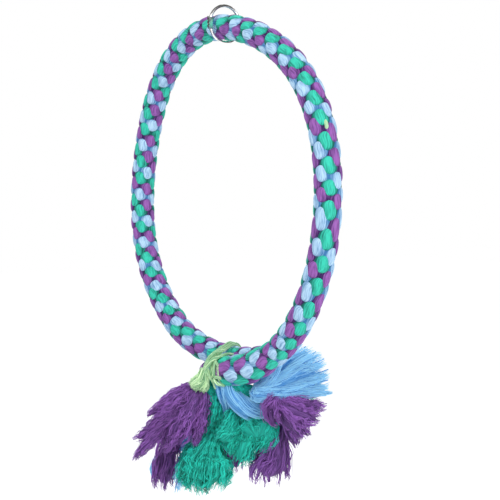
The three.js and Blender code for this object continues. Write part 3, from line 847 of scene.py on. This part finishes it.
THINNED = {  # the share of locks, where branches overlap
    ("front", "purple_1"): 0.72, ("front", "teal_3"): 0.9, ("rear", "purple_3"): 0.93,
    ("rear", "blue_3"): 0.64,
}
print("looks of their own:", len(LOOKS))

# %% Where the locks lie
FIBRES_IN_LOCK = 9
RAGGED_POWER = 1.3  # above 1, few locks are much shorter than the rest
BULK_SAMPLES, BULK_POWER = 200, 1.6  # short locks gather where the tassel is thick
SHORT_LOCK = (14, 28)  # mm
SHORT_END, CAP_END, EARLIEST = (0.15, 1), (0.94, 1), 0.02  # where short locks end and start
CRIMPS = ((1.0, 1.0), (2.3, 0.4))  # how much shorter and how strong: a long wave, a short one
WAVE_SPREAD, CRIMP_SPREAD = (0.75, 1.3), (0.5, 1.3)  # from lock to lock


def lock_plan(route, run, rng, look, locks, late):
    """Each lock's turn, its share of the radius, and its start and end along the route."""
    turn = rng.uniform(0, 2 * np.pi, locks)
    inside = look["body"] ** 2
    out = (inside + (1 - inside) * rng.uniform(0, 1, locks)) ** 0.5
    capped = rng.random(locks) < look["cap"]
    out = np.where(capped, rng.uniform(0, 1, locks) ** 0.5, out)
    end = 1 - look["ragged"] * rng.uniform(0, 1, locks) ** RAGGED_POWER
    start = np.zeros(locks)
    if late:
        share = np.linspace(0, 1, BULK_SAMPLES)
        bulk = np.interp(share, run / run[-1], route[:, 3] ** BULK_POWER)
        end = np.interp(rng.uniform(*SHORT_END, locks), np.cumsum(bulk) / bulk.sum(), share)
        end = np.where(capped, rng.uniform(*CAP_END, locks), end)
        start = np.maximum(end - rng.uniform(*SHORT_LOCK, locks) / run[-1], EARLIEST)
    return turn, out, start, end


def crimp_locks(x, y, at, loose, of_lock, rng, look):
    """Give each lock the waves that it keeps from the twist."""
    locks = of_lock[-1] + 1
    for shorter, strength in CRIMPS:
        phase = rng.uniform(0, 2 * np.pi, (2, locks))
        pitch = look["wave"] / shorter * rng.uniform(*WAVE_SPREAD, locks)
        size = look["crimp"] * strength * rng.uniform(*CRIMP_SPREAD, locks)
        for axis, target in enumerate((x, y)):
            angle = 2 * np.pi * at / pitch[of_lock, None] + phase[axis][of_lock, None]
            target += size[of_lock, None] * np.sin(angle) * loose


# %% Where the fibres lie
END_MEAN, END_SPREAD, SHORTEST = 0.985, 0.02, 0.3  # a fibre's end as a share of the length
EDGE_ROOM, LEAST_ROOM = 0.7, 0.5  # mm that locks keep from the edge, and that they always have
LATE_FLARE, FLARE_POWER, LATE_SWIRL = 0.4, 1.5, 1.6  # late is for the short locks
LOOSE_AT = (6, 16)  # mm from the root, where the crimp starts
FULL_ROOM, CRIMP_LIMITS = 9, (0.25, 1.15)  # mm of radius that the whole crimp needs
LOCK_ROOM, LOCK_LIMITS = 5, (0.35, 1.1)  # mm of radius that a lock's whole width needs
LOCK_TWIST = 0.09  # radians per mm
STRAY_SHARE, STRAY_FRIZZ_SHARE = 0.04, 0.12
STRAY_OUT, STRAY_THIN = 2.2, 0.75  # how far a stray fibre lies from its lock, and how thin it is
STRAY_REACH, STRAY_FRIZZ_REACH, EDGE_GIVE = 1.05, 0.6, 0.2
FOLD_BENDS, FOLD_SPREAD = ((1, 2.2), (2, 1.5)), 0.45  # bends per turn and their size in radians
FOLD_RADIUS = 2  # mm of radius below which the folds fade
FIBRE_RADIUS, FIBRE_SIDES = (0.32, 0.50), 3
TAPER, TAPER_POWER = 0.45, 5
FRIZZ_LENGTH = (3.5, 7)
# Lock and fibre shade are the yarn's random tone. Depth and fold shade are painted shade.
MEAN_SHADE, LOCK_SHADE, FIBRE_SHADE = 0.09, 0.19, 0.17
DEPTH_SHADE, FOLD_SHADE = 0.30, 0.16


def laid_in_locks(route, rng, look, locks, stations, late=False):
    """Lines, radii and shades of fibres in wavy locks along a route of x, y, z and radius."""
    total = locks * FIBRES_IN_LOCK
    steps = np.linalg.norm(np.diff(route[:, :3], axis=0), axis=1)
    run = np.concatenate([[0], np.cumsum(steps)])
    lock_turn, lock_out, lock_start, lock_end = lock_plan(route, run, rng, look, locks, late)
    of_lock = np.repeat(np.arange(locks), FIBRES_IN_LOCK)
    end = lock_end[of_lock] * rng.normal(END_MEAN, END_SPREAD, total)
    end = np.clip(end, SHORTEST, 1)[:, None]
    start = lock_start[of_lock, None]
    own = np.linspace(0, 1, stations)[None]
    at = (start + own * (end - start)) * run[-1]

    def along_route(values):
        return np.stack([np.interp(at, run, column) for column in values.T], -1)

    middle, radius = along_route(route[:, :3]), np.interp(at, run, route[:, 3])
    side, top = (unit(along_route(axis[0])) for axis in carried_frames(route[None, :, :3]))
    room = np.maximum(radius - EDGE_ROOM, LEAST_ROOM)
    flare, power = (LATE_FLARE, 1) if late else (look["flare"], FLARE_POWER)
    fan = 1 - flare + flare * own**power
    swirl = rng.normal(0, 1, locks)[of_lock, None] if late else np.ones((total, 1))
    lock_at = swirl * look["swirl"] * own * (LATE_SWIRL if late else 1)
    lock_at = lock_turn[of_lock, None] + lock_at
    x = lock_out[of_lock, None] * np.cos(lock_at) * room * fan
    y = lock_out[of_lock, None] * np.sin(lock_at) * room * fan
    loose = ease(at, *LOOSE_AT) * np.clip(room / FULL_ROOM, *CRIMP_LIMITS)
    crimp_locks(x, y, at, loose, of_lock, rng, look)

    turn = rng.uniform(0, 2 * np.pi, total)[:, None] + at * LOCK_TWIST
    out = rng.uniform(0, 1, total)[:, None] ** 0.5 * look["lock"]
    out = out * np.clip(room / LOCK_ROOM, *LOCK_LIMITS)
    stray = rng.random(total)[:, None] < STRAY_SHARE + STRAY_FRIZZ_SHARE * look["frizz"]
    out = out * np.where(stray, STRAY_OUT, 1.0)
    x = x + out * np.cos(turn)
    y = y + out * np.sin(turn)
    reach = np.hypot(x, y)
    most = np.where(stray, STRAY_REACH + STRAY_FRIZZ_REACH * look["frizz"] * own, 1.0)
    most = radius * most + EDGE_GIVE
    fit = np.minimum(1, most / np.maximum(reach, 1e-6))

    around = np.arctan2(y, x)
    bend = (0, *rng.uniform(0, 2 * np.pi, 3))
    fold = sum(size * np.sin(n * around + bend[n]) for n, size in FOLD_BENDS)
    fold = 2 * np.pi * at / look["ridge"] + fold
    fold = np.sin(fold + rng.normal(0, FOLD_SPREAD, total)[:, None])
    fit = fit * (1 + look["ruffle"] * loose * fold / np.maximum(radius, FOLD_RADIUS))
    lines = middle + side * (x * fit)[..., None] + top * (y * fit)[..., None]
    for axis in range(3):
        angle = 2 * np.pi * at / rng.uniform(*FRIZZ_LENGTH, total)[:, None]
        angle = angle + rng.uniform(0, 2 * np.pi, total)[:, None]
        lines[..., axis] += look["frizz"] * loose * np.sin(angle)
    radii = rng.uniform(*FIBRE_RADIUS, total)[:, None] * (1 - TAPER * own**TAPER_POWER)
    radii = radii * np.where(stray, STRAY_THIN, 1.0)

    shade = MEAN_SHADE + rng.normal(0, LOCK_SHADE, locks)[of_lock, None]
    shade = shade + rng.normal(0, FIBRE_SHADE, total)[:, None]
    # Painted shade: darker deep inside the tassel and in the hollows of its folds.
    depth = np.clip(reach / np.maximum(radius, 1), 0, 1)
    shade = shade + DEPTH_SHADE * (depth - 0.5) + look["tip"] * (at / run[-1]) ** 3
    shade = shade + FOLD_SHADE * fold * min(look["ruffle"], 1)
    return tube_rings(lines, radii, FIBRE_SIDES), lengths_along(lines), shade


# %% A whole tassel
# Painted shade: the packed middle of a tassel is dark, like the shade deep inside it.
BODY_SHADE, BODY_SIDES = -0.15, 14
BODY_END, BODY_TIP = 0.95, 0.01
STATION_LENGTH, STATIONS, LATE_STATIONS = 3.0, (16, 40), 11
THICK_PERCENTILE = 75
LEAST_LOCKS, LEAST_SHORT_LOCKS, SHORT_LOCKS_BY_AREA = 7, 6, 0.14


def body_of(route, look):
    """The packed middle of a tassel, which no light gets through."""
    own = np.linspace(0, 1, len(route))
    past = np.clip((own - look["blunt"]) / (BODY_END - look["blunt"]), 0, 1)
    radii = route[:, 3] * look["body"] * np.sqrt(np.maximum(1 - past**2, BODY_TIP))
    # Painted shade: the middle is dark all over.
    line, shade = route[None, :, :3], np.full((1, len(route)), BODY_SHADE)
    return tube_rings(line, radii[None], BODY_SIDES), lengths_along(line), shade


def frayed(name, branches, seed, look, fullness=1.0):
    """One mesh of locks, short locks and packed middles along the branches of a tassel."""
    rng = np.random.default_rng(seed)
    made = []
    for route in branches:
        length = np.linalg.norm(np.diff(route[:, :3], axis=0), axis=1).sum()
        stations = int(np.clip(length / STATION_LENGTH, *STATIONS))
        thick = np.percentile(route[:, 3], THICK_PERCENTILE)
        locks = int(fullness * (LEAST_LOCKS + thick))
        made.append(laid_in_locks(route, rng, look, locks, stations))
        if look["fill"]:
            locks = LEAST_SHORT_LOCKS + SHORT_LOCKS_BY_AREA * thick**2
            locks = int(look["fill"] * fullness * locks)
            made.append(laid_in_locks(route, rng, look, locks, LATE_STATIONS, late=True))
        made.append(body_of(route, look))
    return mesh_from_tubes(name, made)


# %% The tassels
TASSEL_SEED = 40
tassels = [(end, strand) for end in ("front", "rear") for strand in SLOT_ORDER]
for number, (end, strand) in enumerate(tassels):
    colour = strand.split("_")[0]
    look, fullness = LOOKS.get((end, strand), HANGING), THINNED.get((end, strand), 1.0)
    name = f"tassel_{end}_{strand}"
    mesh = frayed(name, tassel_routes(end, strand), TASSEL_SEED + number, look, fullness)
    add_piece(name, mesh, FRAYED_YARN[colour], f"{end}_tail_{strand}")
    print(name, len(mesh.polygons), "faces")

# %% [markdown]
# ## Lashing
#
# A green cord ties the two ends of the rope together. It goes round both ropes a few times on
# the slant, each turn beside the last, and its own end is combed out too. A cord under load
# is a bundle of filaments with little twist, so each turn is a bundle of thin tubes, made with
# the tassels' own helper. The path is the one that the plain solid follows.

# %% Path of the lashing
CORD_RADIUS = 1.7
LASHING_TURNS, STEPS_PER_TURN, STEPS_BETWEEN = 3, 24, 3
LASHING_PITCH, LASHING_SLANT, LASHING_START = 4.8, 0.6, -5.0
LASHING_REACH = ROPE_RADIUS + CORD_RADIUS + 0.5
BRIDGE = (0.2, 0.4, 0.6, 0.8)  # shares of the way from one rope over to the other
FRONT_ANGLES = np.linspace(120, FRONT_END + 12, 400)
REAR_ANGLES = np.linspace(-150, REAR_END - 4, 400)


def rope_crossing(x, degrees):
    """The rope's middle where it crosses a plane of constant X near the bottom."""
    here = rope_point(degrees)
    order = np.argsort(here[:, 0])
    return np.array([np.interp(x, here[order, 0], here[order, k]) for k in range(3)])


def lashing_path():
    """Turns round both ropes: at each angle the cord lies on the rope that is further out."""
    path = []
    for i in range(LASHING_TURNS * STEPS_PER_TURN + 1):
        angle = 2 * math.pi * (i + 0.5) / STEPS_PER_TURN
        direction = np.array([0, -math.cos(angle), math.sin(angle)])
        wound = LASHING_START + LASHING_PITCH * i / STEPS_PER_TURN
        points = []
        for sign, angles in ((-1, FRONT_ANGLES), (1, REAR_ANGLES)):
            x = wound - LASHING_SLANT * (sign * PASSING_OFFSET + LASHING_REACH * direction[1])
            point = rope_crossing(x, angles) + direction * LASHING_REACH
            points.append(np.array([x, point[1], point[2], CORD_RADIUS]))
        here = max(points, key=lambda point: point[:3] @ direction)
        if path and np.linalg.norm(here - path[-1]) > PASSING_OFFSET:
            last = path[-1]
            path += [last + (here - last) * share for share in BRIDGE]
        path.append(here)
    return smooth_rows(path, STEPS_BETWEEN)


lashing = lashing_path()
print("lashing", round(lengths_along(lashing[None, :, :3])[0, -1]), "mm")

# %% Loops of the lashing
LASHING_LOOPS = (
    ((2, -23, -14, 2.2), (6, -21, -3, 2.4), (9, -19, 7, 2.3), (12, -15, 14, 2.2),
     (14, -9, 18, 2), (12, 1, 17, 1.8)),
    ((8, -21, -4, 2), (12, -19, 4, 2.2), (14, -15, 10, 2.2), (17, -8, 13, 2.1), (16, 0, 14, 2),
     (13, 10, 13, 1.8)),
    ((16, -13, 9, 1.6), (19, -12, 4, 1.8), (21, -10, -1, 1.8), (21, -7, -7, 1.5),
     (19, -4, -11, 1.2)),
    ((16, -15, -7, 1.4), (20, -12, -7, 2), (23, -6, -9, 2.2), (24, 0, -13, 1.8),
     (22, 8, -17, 1.3)),
    ((15, -15, -9, 1.4), (18, -13, -13, 2), (20, -7, -15, 2), (21, 0, -16, 1.6),
     (20, 9, -18, 1.3)),
    ((11, -18, 8, 1.4), (10, -20, 4, 1.4), (10, -19, -3, 1.4), (12, -15, -8, 1.4),
     (13, -14, -3, 1.4), (12, -15, 3, 1.4)),
    ((8, -21, 0, 1), (12, -18, -6, 1), (14, -15, -12, 1), (14, -12, -19, 0.9)),
    ((3, -20, -3, 2), (6, -18, -8, 2.4), (9, -17, -3, 2), (9, -19, 2, 1.6)),
)
LASHING_SEED, LASHING_FULLNESS = 7, 0.8
CORD_LOOK = dict(COMBED, lock=0.7, ragged=0, swirl=9.0, frizz=0.12, body=0.7)
front_end = rope_frame(FRONT_END)[0]
cords = [lashing] + [smooth_rows(placed(loop, front_end)) for loop in LASHING_LOOPS]
mesh = frayed("lashing", cords, LASHING_SEED, CORD_LOOK, LASHING_FULLNESS)
add_piece("lashing", mesh, FRAYED_YARN["lime"], "lashing_cord")
print("cords in the lashing:", len(cords))

# %% The lashing's combed out end
LASHING_END_SEED = 8
LASHING_END = (
    ((4, -19, 1, 4), (5, -20, -6, 7), (4, -21, -12, 8.5), (3, -23, -17, 9), (2, -25, -21, 8)),
    ((4, -20, -3, 3), (3, -22, -9, 6.5), (2, -26, -14, 7.5), (0, -31, -18, 6.5)),
)
ends = [smooth_rows(placed(branch, front_end)) for branch in LASHING_END]
mesh = frayed("lashing_end", ends, LASHING_END_SEED, dict(FRIZZY, ruffle=0.4))
add_piece("lashing_end", mesh, FRAYED_YARN["lime"], "lashing_tail")
print("faces in the lashing's end:", len(mesh.polygons))

# %% [markdown]
# ## Core cord
#
# A plait that is worked round a core keeps its shape. The core is hidden along almost the whole
# ring, and a plain tube on the rope's own line is enough for that. On the right side one short
# bit of it is pulled out between two cells, so there the tube has a bump towards the viewer.

# %% Core cord
CORE_RADIUS, CORE_SIDES, CORE_RINGS, CORE_SHADE = 2.1, 10, 520, 0.05
PEEK_ALONG, PEEK_LENGTH, PEEK_HEIGHT = 193, 10.5, 13.2
PEEK_THINNER = 0.4
PEEK_NEARER, PEEK_RIGHTWARD = 0.96, 0.28  # its direction, from the camera's own
core_angles = np.linspace(REAR_END, FRONT_END, CORE_RINGS)
from_peek = np.interp(core_angles, ANGLES, ALONG) - PEEK_ALONG
peek = np.exp(-((from_peek / PEEK_LENGTH) ** 2))
outward = np.array(back) * PEEK_NEARER + np.array(right) * PEEK_RIGHTWARD
core = rope_point(core_angles)[None] + (PEEK_HEIGHT * peek)[None, :, None] * outward
rings = tube_rings(core, CORE_RADIUS - PEEK_THINNER * peek[None], CORE_SIDES)
shade = np.full(core.shape[:2], CORE_SHADE)
mesh = mesh_from_tubes("core", [(rings, lengths_along(core), shade)])
add_piece("core", mesh, FRAYED_YARN["lime"], "core_cord")
print("core", round(lengths_along(core)[0, -1]), "mm")
